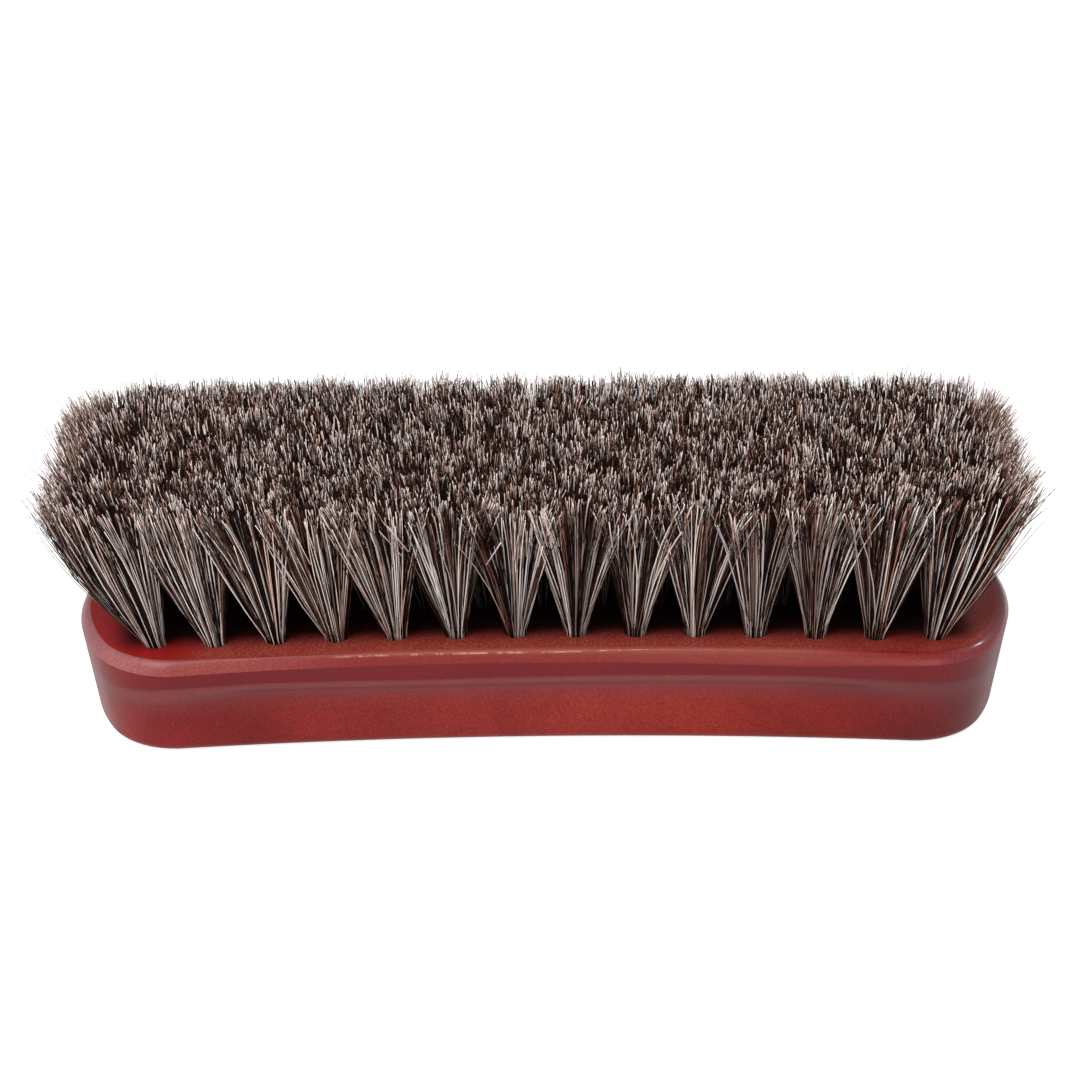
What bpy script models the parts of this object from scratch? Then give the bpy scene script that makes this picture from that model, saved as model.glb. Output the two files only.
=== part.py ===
"""A horsehair brush for cleaning leather: a hardwood block set with four rows of hair tufts.

Metres, +Z up. The brush lies on the flat back of its block with the hair up. The origin is the
middle of that back, X runs along the block and Y across it.

The block is shaped from one board: the outline is all arcs, a finger groove runs along each long
side, and blind holes are drilled into the face, slanted outwards towards the rim. Each tuft is a
bundle of hair folded over a short flat wire, the anchor, and driven into its hole. The ends of the
anchor bite into the wood. Above the face the tuft fans out until it meets its neighbours.
"""

import math

import bmesh
import bpy
import numpy as np
from mathutils import Matrix, Vector

# The block's outline: how far its ends bow out beyond the corners, and its long sides bow in
BLOCK_LENGTH = 0.170
BLOCK_WIDTH = 0.054
CORNER_RADIUS = 0.016
END_BULGE = 0.0029
WAIST_DEPTH = 0.0029

# The block's section. A flatness of 1 rounds the rim and one of 2 bevels it
BLOCK_THICKNESS = 0.019
RIM_CHAMFER = 0.0016
RIM_FLATNESS = 1.5
BACK_EDGE_RADIUS = 0.0018
SIDE_TAPER = 0.0018

# The finger groove along each long side, between two lands. A skew below 1 is deepest near the top
GROOVE_DEPTH = 0.0013
GROOVE_SKEW = 0.6
UPPER_LAND = 0.0028
LOWER_LAND = 0.0008
GROOVE_END_MARGIN = 0.0150
GROOVE_RUNOUT = 0.0180

# The drilled holes, in rows that follow the rim
ROWS = 4
LONG_ROW = 15
END_MARGIN = 0.0108
SIDE_MARGIN = 0.0074
HOLE_DIAMETER = 0.0038
DRILL_POINT_ANGLE = math.radians(118)
BACK_WALL = 0.0070

# The hair
HAIR_HEIGHT = 0.030
SIDE_LEAN = 0.0042
TIPS_INSIDE_END = 0.0070
LEAN_GROWTH = 2.6
FAN_SLOPE = 0.215
FAN_GROWTH = 1.2
TRIM_CROWN = 0.0012
LOCK_DEPTH = 0.10
LOCKS = 4

# The wire anchors, and the fold of the hair below them
ANCHOR_THICKNESS = 0.0005
ANCHOR_HEIGHT = 0.0022
ANCHOR_BITE = 0.0004
FOLD_THICKNESS = 0.0009
FOLD_NARROWING = 0.6

# Gaps between solids that touch on the real brush, and how far a cutter stands out of the face
CLEARANCE = 0.0003
OVERCUT = 0.003

# How finely the round stretches are divided. A crowding above 1 draws levels to the groove's top
END_STEPS = 4
CORNER_STEPS = 6
WAIST_STEPS = 8
EDGE_STEPS = 3
GROOVE_STEPS = 6
GROOVE_CROWDING = 1.5
HOLE_SIDES = 10
TUFT_SIDES = 10
MEETING_LOWEST = 0.2
MEETING_HIGHEST = 0.8
SIDEWAYS = 1e-6
SHARP_ANGLE = math.radians(35)


def clear_scene():
    for item in list(bpy.data.objects):
        bpy.data.objects.remove(item, do_unlink=True)


def new_collection(name):
    collection = bpy.data.collections.new(name)
    bpy.context.scene.collection.children.link(collection)
    return collection


def new_material(name, colour, roughness, metallic=0.0):
    material = bpy.data.materials.new(name)
    material.use_nodes = True
    shader = material.node_tree.nodes["Principled BSDF"]
    shader.inputs["Base Color"].default_value = (*colour, 1.0)
    shader.inputs["Roughness"].default_value = roughness
    shader.inputs["Metallic"].default_value = metallic
    material.diffuse_color = (*colour, 1.0)
    return material


def stained_wood():
    return new_material("stained_wood", (0.27, 0.03, 0.025), 0.38)


def horse_hair():
    return new_material("horse_hair", (0.13, 0.09, 0.07), 0.6)


def anchor_wire():
    return new_material("anchor_wire", (0.55, 0.54, 0.52), 0.4, metallic=1.0)


def mesh_from(shape, name, material):
    mesh = bpy.data.meshes.new(name)
    bmesh.ops.recalc_face_normals(shape, faces=shape.faces)
    shape.to_mesh(mesh)
    shape.free()
    mesh.materials.append(material)
    mesh.shade_smooth()
    mesh.set_sharp_from_angle(angle=SHARP_ANGLE)
    return mesh


def new_object(name, mesh, collection):
    item = bpy.data.objects.new(name, mesh)
    collection.objects.link(item)
    return item


def new_cutter(name, mesh, collection):
    cutter = new_object(name, mesh, collection)
    cutter.hide_render = True
    cutter.display_type = "WIRE"
    return cutter


def add_boolean(item, operation, other):
    modifier = item.modifiers.new(f"{operation.lower()} {other.name}", "BOOLEAN")
    modifier.operation = operation
    modifier.object = other
    modifier.material_mode = "TRANSFER"


def outline_arcs():
    """(centre, radius, first angle, last angle, steps) of the three arcs in the quarter at +X, +Y.

    The end arc is centred on the X axis, the corner arc lies inside it and touches it, and the
    hollow arc of the waist is centred outside the block and touches the corner arc.
    """
    corner_x = BLOCK_LENGTH / 2 - END_BULGE - CORNER_RADIUS
    corner_y = BLOCK_WIDTH / 2 - CORNER_RADIUS
    end_radius = (END_BULGE**2 + 2 * END_BULGE * CORNER_RADIUS + corner_y**2) / (2 * END_BULGE)
    end_x = BLOCK_LENGTH / 2 - end_radius
    meet_end = math.atan2(corner_y, corner_x - end_x)

    inner = CORNER_RADIUS - WAIST_DEPTH
    waist_radius = (corner_x**2 + inner**2 - CORNER_RADIUS**2) / (2 * WAIST_DEPTH)
    waist_y = BLOCK_WIDTH / 2 - WAIST_DEPTH + waist_radius
    meet_waist = math.atan2(waist_y - corner_y, -corner_x)

    return (
        ((end_x, 0.0), end_radius, 0.0, meet_end, END_STEPS),
        ((corner_x, corner_y), CORNER_RADIUS, meet_end, meet_waist, CORNER_STEPS),
        ((0.0, waist_y), -waist_radius, meet_waist, math.pi / 2, WAIST_STEPS),
    )


def quarter_outline():
    """Points of the quarter at +X, +Y from the end to the middle, and the outward direction at each.

    A point is its arc's centre plus the radius times the direction. The waist arc's radius counts
    as negative, because there the centre lies on the outward side.
    """
    points = []
    directions = []
    for centre, radius, first, last, steps in outline_arcs():
        angles = np.linspace(first, last, steps + 1)[:-1]
        outward = np.stack([np.cos(angles), np.sin(angles)], axis=1)
        points.append(np.array(centre) + radius * outward)
        directions.append(outward)
    middle = [0.0, BLOCK_WIDTH / 2 - WAIST_DEPTH]
    return np.vstack([*points, [middle]]), np.vstack([*directions, [[0.0, 1.0]]])


def full_outline():
    """The quarter mirrored in Y and then in X, anticlockwise round the block."""
    points, directions = quarter_outline()
    mirror_x = np.array([-1.0, 1.0])
    points = np.vstack([points, points[-2::-1] * mirror_x])
    directions = np.vstack([directions, directions[-2::-1] * mirror_x])
    mirror_y = np.array([1.0, -1.0])
    points = np.vstack([points, points[-2:0:-1] * mirror_y])
    directions = np.vstack([directions, directions[-2:0:-1] * mirror_y])
    return points, directions


def half_width_at(x, inset):
    """Half the width of the outline at x, with the outline pulled in by inset all round."""
    end, corner, waist = outline_arcs()
    x = abs(x)
    for (centre_x, centre_y), radius, _, last, _ in (end, corner):
        reach = max(radius - inset, 0.0)
        if centre_x + reach * math.cos(last) <= x:
            return centre_y + math.sqrt(max(reach**2 - (x - centre_x) ** 2, 0.0))
    (_, waist_y), radius, _, _, _ = waist
    return waist_y - math.sqrt((inset - radius) ** 2 - x**2)


def wall_levels():
    """(height, inset, depth of the groove) of each level of the block, from the back to the face."""
    levels = []
    for turn in np.linspace(0.0, math.pi / 2, EDGE_STEPS + 1):
        height = BACK_EDGE_RADIUS * (1 - math.cos(turn))
        levels.append((height, SIDE_TAPER + BACK_EDGE_RADIUS * (1 - math.sin(turn)), 0.0))

    rim_foot = BLOCK_THICKNESS - RIM_CHAMFER
    groove_top = rim_foot - UPPER_LAND
    groove_height = groove_top - BACK_EDGE_RADIUS - LOWER_LAND
    for share in np.linspace(1.0, 0.0, GROOVE_STEPS + 1) ** GROOVE_CROWDING:
        height = groove_top - groove_height * share
        taper = SIDE_TAPER * (rim_foot - height) / (rim_foot - BACK_EDGE_RADIUS)
        bow = max(math.sin(math.pi * share**GROOVE_SKEW), 0.0)
        levels.append((height, taper, GROOVE_DEPTH * bow))

    for turn in np.linspace(0.0, math.pi / 2, EDGE_STEPS + 1):
        height = rim_foot + RIM_CHAMFER * math.sin(turn) ** RIM_FLATNESS
        levels.append((height, RIM_CHAMFER * (1 - math.cos(turn) ** RIM_FLATNESS), 0.0))
    return levels


def groove_share(x):
    """1 along the middle of a long side, falling smoothly to 0 where the groove runs out."""
    left = (BLOCK_LENGTH / 2 - GROOVE_END_MARGIN - np.abs(x)) / GROOVE_RUNOUT
    left = np.clip(left, 0.0, 1.0)
    return left**2 * (3 - 2 * left)


def block_mesh(material):
    """A loft of the outline, pulled in at each level by that level's inset and groove."""
    points, directions = full_outline()
    along_groove = groove_share(points[:, 0])[:, None]
    shape = bmesh.new()
    rings = []
    for height, inset, groove in wall_levels():
        plan = points - directions * (inset + groove * along_groove)
        rings.append([shape.verts.new((x, y, height)) for x, y in plan])
    for low, high in zip(rings, rings[1:]):
        for i in range(len(low)):
            shape.faces.new((low[i - 1], low[i], high[i], high[i - 1]))
    shape.faces.new(rings[0])
    shape.faces.new(rings[-1])
    return mesh_from(shape, "block", material)


class Tuft:
    """Where one tuft stands: the middle of its hole's mouth, and how far its tips lean from there."""

    def __init__(self, name, mouth, lean):
        self.name = name
        self.mouth = Vector((*mouth, BLOCK_THICKNESS))
        self.lean = Vector((*lean, 0.0))
        axis = (self.lean + Vector((0.0, 0.0, HAIR_HEIGHT))).normalized()
        across = axis.cross(Vector((1.0, 0.0, 0.0))).normalized()
        turned = Matrix((across.cross(axis), across, axis)).transposed()
        self.frame = Matrix.Translation(self.mouth) @ turned.to_4x4()

    def centre(self, share):
        """The middle of the tuft, in plan, at a share of the hair's height."""
        return np.array((self.mouth + self.lean * share).xy)


def row_pitch():
    return (BLOCK_LENGTH - 2 * END_MARGIN) / (LONG_ROW - 1)


def all_tufts():
    """Rows of LONG_ROW tufts and rows of one fewer take turns, half a pitch apart.

    The tufts in the middle of a row stand upright along it. Towards each end they lean more, and
    the last one's tips are centred TIPS_INSIDE_END short of the block's end. Across the block the
    outermost rows lean by SIDE_LEAN, and the others in proportion.
    """
    tufts = []
    for row in range(ROWS):
        count = LONG_ROW - 1 + row % 2
        last_x = (count - 1) / 2 * row_pitch()
        y_share = 2 * row / (ROWS - 1) - 1
        last_lean = BLOCK_LENGTH / 2 - TIPS_INSIDE_END - last_x
        for number in range(count):
            x = number * row_pitch() - last_x
            y = y_share * half_width_at(x, SIDE_MARGIN)
            lean_x = math.copysign(last_lean * abs(x / last_x) ** LEAN_GROWTH, x)
            name = f"tuft_row{row + 1}_{number + 1:02d}"
            tufts.append(Tuft(name, (x, y), (lean_x, SIDE_LEAN * y_share)))
    return tufts


def drill_point():
    return HOLE_DIAMETER / 2 / math.tan(DRILL_POINT_ANGLE / 2)


def hole_depth():
    """Down to the shoulder of the drill's point."""
    return BLOCK_THICKNESS - BACK_WALL - drill_point()


def anchor_middle():
    """How far below the mouth the middle of the anchor lies, on the axis of the hole."""
    return hole_depth() - CLEARANCE - FOLD_THICKNESS - ANCHOR_HEIGHT / 2


def add_anchor_box(shape, frame, margin):
    """A box where the anchor lies across the tuft, larger than the anchor by margin all round."""
    place = frame @ Matrix.Translation((0.0, 0.0, -anchor_middle()))
    sides = (HOLE_DIAMETER + 2 * ANCHOR_BITE, ANCHOR_THICKNESS, ANCHOR_HEIGHT)
    size = Matrix.Diagonal((*(side + 2 * margin for side in sides), 1.0))
    bmesh.ops.create_cube(shape, size=1.0, matrix=place @ size)


def holes_mesh(tufts, material):
    """The space that the drill clears for each tuft: a shank and a pointed end."""
    depth = hole_depth()
    shape = bmesh.new()
    for tuft in tufts:
        lift = Matrix.Translation((0.0, 0.0, (OVERCUT - depth) / 2))
        made = bmesh.ops.create_cone(
            shape,
            cap_ends=True,
            segments=HOLE_SIDES,
            radius1=HOLE_DIAMETER / 2,
            radius2=HOLE_DIAMETER / 2,
            depth=OVERCUT + depth,
            matrix=tuft.frame @ lift,
        )
        floor = min(
            {face for vert in made["verts"] for face in vert.link_faces},
            key=lambda face: face.calc_center_median().z,
        )
        tip = bmesh.ops.poke(shape, faces=[floor])["verts"][0]
        tip.co = tuft.frame @ Vector((0.0, 0.0, -depth - drill_point()))
    return mesh_from(shape, "holes", material)


def anchor_slots_mesh(tufts, material):
    """The slot that each anchor presses into the wood on two sides of its hole."""
    shape = bmesh.new()
    for tuft in tufts:
        add_anchor_box(shape, tuft.frame, CLEARANCE)
    return mesh_from(shape, "anchor_slots", material)


def anchor_mesh(material):
    """A short piece of flat wire, laid across the hole and wider than it by the bite at each end."""
    shape = bmesh.new()
    add_anchor_box(shape, Matrix.Identity(4), 0.0)
    return mesh_from(shape, "anchor", material)


def fan_ring(tuft, others, share, angles):
    """Points round the tuft, in plan, at a share of the hair's height.

    In each direction the hair reaches as far as it fans out by itself, faster towards the tips, or
    to half a clearance short of the line half-way to the nearest neighbour, whichever is less. A
    neighbour that lies sideways or behind sets no limit. Between the locks of hair the outline is
    drawn in a little.
    """
    root = HOLE_DIAMETER / 2 - CLEARANCE
    centre = tuft.centre(share)
    outward = np.stack([np.cos(angles), np.sin(angles)], axis=1)
    reach = np.full(len(angles), root + FAN_SLOPE * HAIR_HEIGHT * share**FAN_GROWTH)
    for other in others:
        between = other.centre(share) - centre
        distance = np.hypot(*between)
        facing = np.maximum(outward @ between / distance, SIDEWAYS)
        reach = np.minimum(reach, (distance - CLEARANCE) / 2 / facing)
    between_locks = np.sin(LOCKS / 2 * angles) ** 2
    return centre + outward * (reach * (1 - LOCK_DEPTH * share * between_locks))[:, None]


def meeting_share():
    """The share of the hair's height at which neighbours in a row have fanned out to each other."""
    room = row_pitch() / 2 - HOLE_DIAMETER / 2
    share = (room / (FAN_SLOPE * HAIR_HEIGHT)) ** (1 / FAN_GROWTH)
    return min(max(share, MEETING_LOWEST), MEETING_HIGHEST)


def tuft_mesh(tuft, tufts, material):
    """A loft from the folded root at the foot of the hole, through its mouth, to the trimmed tips."""
    angles = np.arange(TUFT_SIDES) * 2 * math.pi / TUFT_SIDES
    others = [other for other in tufts if other is not tuft]
    into_mesh = Matrix.Translation(-tuft.mouth)
    in_hole = into_mesh @ tuft.frame
    root = HOLE_DIAMETER / 2 - CLEARANCE
    foot = hole_depth() - CLEARANCE
    bends = ((root * FOLD_NARROWING, foot), (root, foot - FOLD_THICKNESS), (root, 0.0))

    shape = bmesh.new()
    rings = []
    for radius, depth in bends:
        ring = [(radius * math.cos(a), radius * math.sin(a), -depth) for a in angles]
        rings.append([shape.verts.new(in_hole @ Vector(point)) for point in ring])
    for share in (meeting_share(), 1.0):
        height = BLOCK_THICKNESS + HAIR_HEIGHT * share - TRIM_CROWN
        plan = fan_ring(tuft, others, share, angles)
        rings.append([shape.verts.new(into_mesh @ Vector((x, y, height))) for x, y in plan])
    for low, high in zip(rings, rings[1:]):
        for i in range(TUFT_SIDES):
            shape.faces.new((low[i - 1], low[i], high[i], high[i - 1]))
    shape.faces.new(rings[0])
    crown = shape.verts.new(tuft.lean + Vector((0.0, 0.0, HAIR_HEIGHT)))
    for i in range(TUFT_SIDES):
        shape.faces.new((rings[-1][i - 1], rings[-1][i], crown))
    return mesh_from(shape, tuft.name, material)


def add_block(tufts, parts, cutters):
    wood = stained_wood()
    block = new_object("block", block_mesh(wood), parts)
    add_boolean(block, "DIFFERENCE", new_cutter("holes", holes_mesh(tufts, wood), cutters))
    slots = new_cutter("anchor_slots", anchor_slots_mesh(tufts, wood), cutters)
    add_boolean(block, "DIFFERENCE", slots)
    return block


def add_tufts(tufts, parts, cutters):
    """Each tuft is its hair and the anchor inside its fold, the one solid that goes into a hole."""
    hair = horse_hair()
    anchor = anchor_mesh(anchor_wire())
    items = []
    for tuft in tufts:
        item = new_object(tuft.name, tuft_mesh(tuft, tufts, hair), parts)
        item.location = tuft.mouth
        wire = new_cutter(f"anchor_{tuft.name}", anchor, cutters)
        wire.matrix_world = tuft.frame
        add_boolean(item, "UNION", wire)
        items.append(item)
    return items


def main():
    clear_scene()
    parts = new_collection("leather_cleaning_brush")
    cutters = new_collection("cutters")
    brush = bpy.data.objects.new("brush", None)
    parts.objects.link(brush)

    tufts = all_tufts()
    for item in (add_block(tufts, parts, cutters), *add_tufts(tufts, parts, cutters)):
        item.parent = brush


main()
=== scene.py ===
"""The looks of a horsehair brush for cleaning leather: its strands of hair and its lacquered block.

Metres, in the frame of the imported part: X along the block, Y across it, the hair towards +Z. Every
tuft of strands takes its hole, its lean and the middle of its tips from the CAD tuft that it
stands for.
"""

import math

import bpy
import numpy as np
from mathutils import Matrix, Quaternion, Vector


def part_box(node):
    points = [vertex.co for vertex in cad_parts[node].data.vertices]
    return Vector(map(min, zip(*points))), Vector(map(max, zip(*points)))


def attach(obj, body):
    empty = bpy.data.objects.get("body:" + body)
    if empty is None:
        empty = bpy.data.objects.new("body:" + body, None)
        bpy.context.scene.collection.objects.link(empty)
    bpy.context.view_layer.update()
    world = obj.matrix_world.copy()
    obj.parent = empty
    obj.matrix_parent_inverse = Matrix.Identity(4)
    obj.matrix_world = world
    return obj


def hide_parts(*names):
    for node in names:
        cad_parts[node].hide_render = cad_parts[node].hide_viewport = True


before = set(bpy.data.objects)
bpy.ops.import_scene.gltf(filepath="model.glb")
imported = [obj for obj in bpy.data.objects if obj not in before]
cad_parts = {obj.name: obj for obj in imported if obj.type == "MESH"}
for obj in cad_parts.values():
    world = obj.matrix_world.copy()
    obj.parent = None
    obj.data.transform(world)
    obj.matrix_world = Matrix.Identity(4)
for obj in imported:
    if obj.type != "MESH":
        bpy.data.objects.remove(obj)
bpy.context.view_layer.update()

SEED = 41
DISPLAY_GAMMA = 2.2

# The block's outline and section, as in the CAD part
CORNER_RADIUS = 0.016
END_BULGE = 0.0029
WAIST_DEPTH = 0.0029
BACK_EDGE_RADIUS = 0.0018
SIDE_TAPER = 0.0018
GROOVE_DEPTH = 0.0013
GROOVE_SKEW = 0.6
LOWER_LAND = 0.0008
GROOVE_END_MARGIN = 0.0150
GROOVE_RUNOUT = 0.0180

# How gently the groove starts under its upper edge, as a share of the wall's height
GROOVE_EASING = 0.30

# Hand-sanded edges at places along X: depth and width of the rim's bevel, how crisp its foot and
# its top are (2 is a sharp edge, 1 a rounded one), and how far below the face the groove starts
ALONG_X = (-0.085, -0.066, -0.050, -0.020, 0.015, 0.045, 0.066, 0.085)
RIM_DEPTHS = (0.0019, 0.0024, 0.0021, 0.0019, 0.0021, 0.0026, 0.0019, 0.0017)
RIM_WIDTHS = (0.0018, 0.0018, 0.0012, 0.0010, 0.0011, 0.0014, 0.0016, 0.0017)
FOOT_CRISPNESS = (1.8, 1.9, 1.9, 1.9, 1.8, 1.7, 1.5, 1.4)
TOP_CRISPNESS = (1.2, 1.2, 1.4, 1.6, 1.5, 1.4, 1.2, 1.2)
GROOVE_TOPS = (0.0075, 0.0052, 0.0048, 0.0053, 0.0048, 0.0046, 0.0054, 0.0075)

# How finely the block is made: steps in a quarter of its outline, rings in its section, places of
# the rings between the groove and the rim, and distances of the rings on the face from its edge
END_STEPS = 22
CORNER_STEPS = 34
WAIST_STEPS = 60
BACK_EDGE_RINGS = 9
WALL_RINGS = 30
LOWEST_WALL_SHARE = 0.05
RIM_RINGS = 17
LAND_SHARES = np.array([0.06, 0.3, 0.6, 0.85, 0.95])
FACE_STRIP = np.array([0.0001, 0.0002, 0.0004, 0.0007, 0.0012])
SHARP_ANGLE = math.radians(40)

# How near its height a point lies on the face, and how near it belongs to the mouth of a CAD tuft
FACE_TOLERANCE = 0.00001
NEAR_FACE = 0.0008

# Holes
HOLE_RADIUS = 0.0019
HOLE_DEPTH = 0.0109
DRILL_POINT = 0.0011
MOUTH_FLARE = 0.00010
MOUTH_DEPTH = 0.0009
OVERCUT = 0.003
HOLE_SIDES = 24
ON_AXIS = 1e-6

# Marks on the block, kept in the attribute level: where each ring of its section lies
GROOVE_EDGE = 1
RIM_FOOT = 2
RIM_TOP = 3
ON_FACE = 4.2

# Bands on the block: the marks between which a tone comes in, and those between which it ends. The
# tone of the face goes on to its middle
GROOVE_BAND = ((0.15, 0.65), (0.98, 1.12))
# The next band is where a paler sheen is painted in the groove's upper part
PALE_SHEEN_BAND = ((0.40, 0.60), (0.74, 0.90))
LAND_BAND = ((0.92, 1.06), (1.98, 2.04))
BEVEL_BAND = ((1.98, 2.06), (3.0, 3.2))
GLOSSY_BAND = ((2.0, 2.5), (3.2, 4.0))
SANDED_BAND = ((2.5, 3.0), (3.3, 4.2))
CREST_BAND = ((2.95, 3.0), (3.03, 3.14))
FACE_STARTS = (3.0, 3.3)

# How fully tones cover the stain
# The grey sheen painted over the groove and the paler one in its upper part cover the stain this fully
GREY_SHEEN_COVER = 0.75
PALE_SHEEN_COVER = 0.22
SANDED_COVER = 0.55
RUBBED_COVER = 0.46
PORES_OVER_TONES = 0.5

# Ranges along X over which the look changes, and how fully a tone covers at the two ends of each
LAND_ENDS = (0.058, 0.074, 0.85, 0.25)
BEVEL_LEFT_END = (-0.077, -0.063, 1.0, 0.0)
BEVEL_BESIDE_LEFT = (-0.055, -0.030, 0.5, 0.0)
BEVEL_RIGHT_END = (0.062, 0.076, 0.0, 0.6)
FACE_LEFT_END = (-0.068, -0.056, 0.9, 0.0)
FACE_RIGHT_PART = (0.035, 0.065, 0.0, 0.35)

# Ranges along X over which the look changes fully: at one place, or where it comes in and ends
TO_RIGHT = (0.035, 0.065)
GLOSSY_RIGHT_END = (0.069, 0.078)
SANDED_PART = ((-0.050, -0.020), (0.040, 0.062))
RUBBED_PART = ((-0.042, -0.030), (0.026, 0.038))

# A range along X, and how much lower in marks the rubbed line lies at its two ends
RUBBED_LOWER = (0.0, 0.028, 0.3, 0.0)

# Where painted shade darkens the face between the tufts: across the outermost rows, across the end
#  tufts, and from these marks on
DARK_ROWS = (0.0140, 0.0215)
DARK_ENDS = (0.0720, 0.0790)
DARK_STARTS = (4.0, 4.1)

# Noise: cells a metre, detail and roughness. The wood's grain is drawn out along the block
CLOUD_NOISE = (48.0, 3.0)
PORE_NOISE = (3900.0, 2.0, 0.7)
FLECK_NOISE = (3200.0, 2.0, 0.6)
BREAK_NOISE = (560.0, 3.0, 0.7)
LUSTRE_NOISE = (700.0, 2.0)
GRAIN_STRETCH = (0.6, 1.0, 1.0)

# Between which values of its noise each of these comes in
CLOUD_CONTRAST = (0.32, 0.68)
PORE_CONTRAST = (0.34, 0.66)
FLECK_CONTRAST = (0.45, 0.75)
BREAK_CONTRAST = (0.42, 0.58)

# The lacquer: values of the pores' noise and the roughness at each; its clear coat, all over and
# added at the right end; and the depth of its pores
LACQUER_ROUGHNESS = (0.3, 0.7, 0.34, 0.44)
COAT = 0.09
COAT_ADDED_AT_END = 0.6
COAT_ROUGHNESS = 0.16
PORE_DEPTH = 0.00005

# Tone of the stain at places along X: deepest towards the right end
STAINS = (
    (-0.080, (0.215, 0.0100, 0.0100)),
    (-0.056, (0.140, 0.0050, 0.0045)),
    (-0.036, (0.195, 0.0110, 0.0085)),
    (0.000, (0.215, 0.0150, 0.0110)),
    (0.026, (0.195, 0.0110, 0.0065)),
    (0.044, (0.160, 0.0060, 0.0035)),
    (0.062, (0.112, 0.0030, 0.0035)),
    (0.080, (0.125, 0.0060, 0.0070)),
)

# Lighter and darker places in the stain, as factors: broad clouds, and the pores of the grain
CLOUDS = ((0.84, 0.78, 0.78), (1.12, 1.25, 1.15))
PORES = ((0.82, 0.78, 0.78), (1.18, 1.26, 1.26))

# Tones over the stain. A pair runs from the left or middle of the block to its right
# Painted reflections in the finger groove: a grey sheen over it, and a paler sheen in its upper part
GREY_SHEEN_IN_GROOVE = ((0.165, 0.034, 0.035), (0.112, 0.024, 0.027))
PALE_SHEEN_IN_GROOVE = ((0.215, 0.060, 0.060), (0.145, 0.037, 0.037))
# Painted shade on the land between the groove and the rim, maroon
SHADED_MAROON_LAND = (0.120, 0.006, 0.010)
BEVEL_BROWN = (0.180, 0.012, 0.009)
# Painted reflections on the bevel: lilac at the left end, rose beside it, mauve at the right end
LILAC_SHEEN_ON_BEVEL = (0.36, 0.150, 0.160)
ROSE_SHEEN_ON_BEVEL = (0.27, 0.062, 0.056)
MAUVE_SHEEN_ON_BEVEL = (0.17, 0.036, 0.045)
FACE_RED = (0.24, 0.024, 0.017)
FACE_FLECK = (0.46, 0.13, 0.09)
FACE_RIGHT = (0.16, 0.008, 0.006)
FACE_LEFT = (0.30, 0.006, 0.008)
# Painted shade on the face between the tufts
PAINTED_SHADE_BETWEEN_TUFTS = (0.016, 0.003, 0.003)
SANDED = (0.40, 0.115, 0.080)
RUBBED_BARE = (0.70, 0.40, 0.30)

# The outermost rows of holes bow as the block's waist does: |y| = OUTER_ROW + ROW_BOW x^2
OUTER_ROW = 0.0168
ROW_BOW = 0.5

# Where the brushed hair lies beside its design: the tips are drawn in a little, swept to the left
# and combed to and fro along X; the longest ends stand above the trimmed ones; and together the
# tips fill the oblong |x / a|^n + |y / b|^n = 1
TIPS_DRAWN_IN = 0.975
TIPS_SWEPT = -0.0010
COMB_WAVE = 0.0018
COMB_LENGTH = 0.094
COMB_START = -0.006
LONGEST_ENDS = 0.0010
FIELD_MIDDLE = np.array([-0.0016, 0.0004])
FIELD_HALF_SIZE = np.array([0.0872, 0.0294])
FIELD_SQUARENESS = 8.0

# A tuft's cell: how far it laps over its neighbours, and how finely its reach is measured
TUFT_OVERLAP = 0.0042
CELL_DIRECTIONS = 72
CELL_STEP = 0.0001
CELL_LIMIT = 0.014

# Strands. Some run from the hole to the tips; of those that start deep inside the tuft, only the
# upper ends are made. Bends are at shares of the height above the face
STRANDS = 1380
LONG_BENDS = (-0.09, 0.04, 0.28, 0.52, 0.74, 0.89, 1.0)
SHORT_BENDS = (0.76, 1.0)
STRAND_SIDES = 3
STRAND_RADIUS = 0.000078
ROOT_THINNING = 0.75
TIP_THINNING = 0.72
POINT_LENGTH = 0.6
OUTER_FINENESS = 0.3

# Share of the strands that are long: inside LONG_RADIUS and outside it, and more in the end tufts
LONG_SHARES = (0.26, 0.52)
LONG_RADIUS = 0.8
END_LONG_SHARE = 0.20
END_TUFTS = 0.05

# How strands fill the hole and the cell: random spreads, and wisps and strays that leave the tuft
MOUTH_RADIUS = 0.00178
MOUTH_SPREAD = 0.16
SEED_SPREAD = 0.08
FAN_SPREAD = 0.03
WISP_SHARE = 0.08
WISP_REACH = 0.05
WISP_RADIUS = 0.8
STRAY_SHARE = 0.006
STRAY_REACH = 0.0035

# Locks: how many in a tuft, how they draw their strands together, and how they differ
LOCKS = 44
LOCK_PULL = 0.48
LOCK_SPREAD = 0.00035
LOCK_LIKENESS = 0.3
LOCK_FLICK = 0.0007
LOCK_TRIM = 0.0006

# The trim: how far below the longest ends strands stop, and the share that was cut or broken short
TRIM_JITTER = 0.0030
TRIM_POWER = 1.5
TUFT_CROWN = 0.0003
SHORT_SHARE = 0.05
SHORT_BY = (0.001, 0.006)

# How strands bow and flick: inside a tuft, and on the outside, at the brush's left and its right
INNER_BOW = -0.2
BOW_SPREAD = 0.08
OUTER_BOWS = (1.10, 0.8)
OUTER_BOW_PLACES = (-0.03, 0.03)
FULL_LEAN = 0.009
FULL_BOW_RADIUS = 0.7
WAVER = 0.0003
TIP_FLICK = 0.0007
OUTER_FLICK = 0.8

# The soft outside of the field of tips, where the ends are finer and downy
OUTSIDE_START = 0.45
OUTSIDE_WIDTH = 0.40
DOWN = np.array([0.60, 0.44, 0.36])
DOWN_SHARE = 0.9
DOWN_START = 0.8

# Along the hair: values of the lustre's noise, and the roughness or the share of DARK_HAIR at each
HAIR_ROUGHNESS = (0.3, 0.7, 0.42, 0.55)
HAIR_DARKENING = (0.3, 0.8, 0.0, 0.2)
DARK_HAIR = (0.03, 0.018, 0.012)

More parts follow.
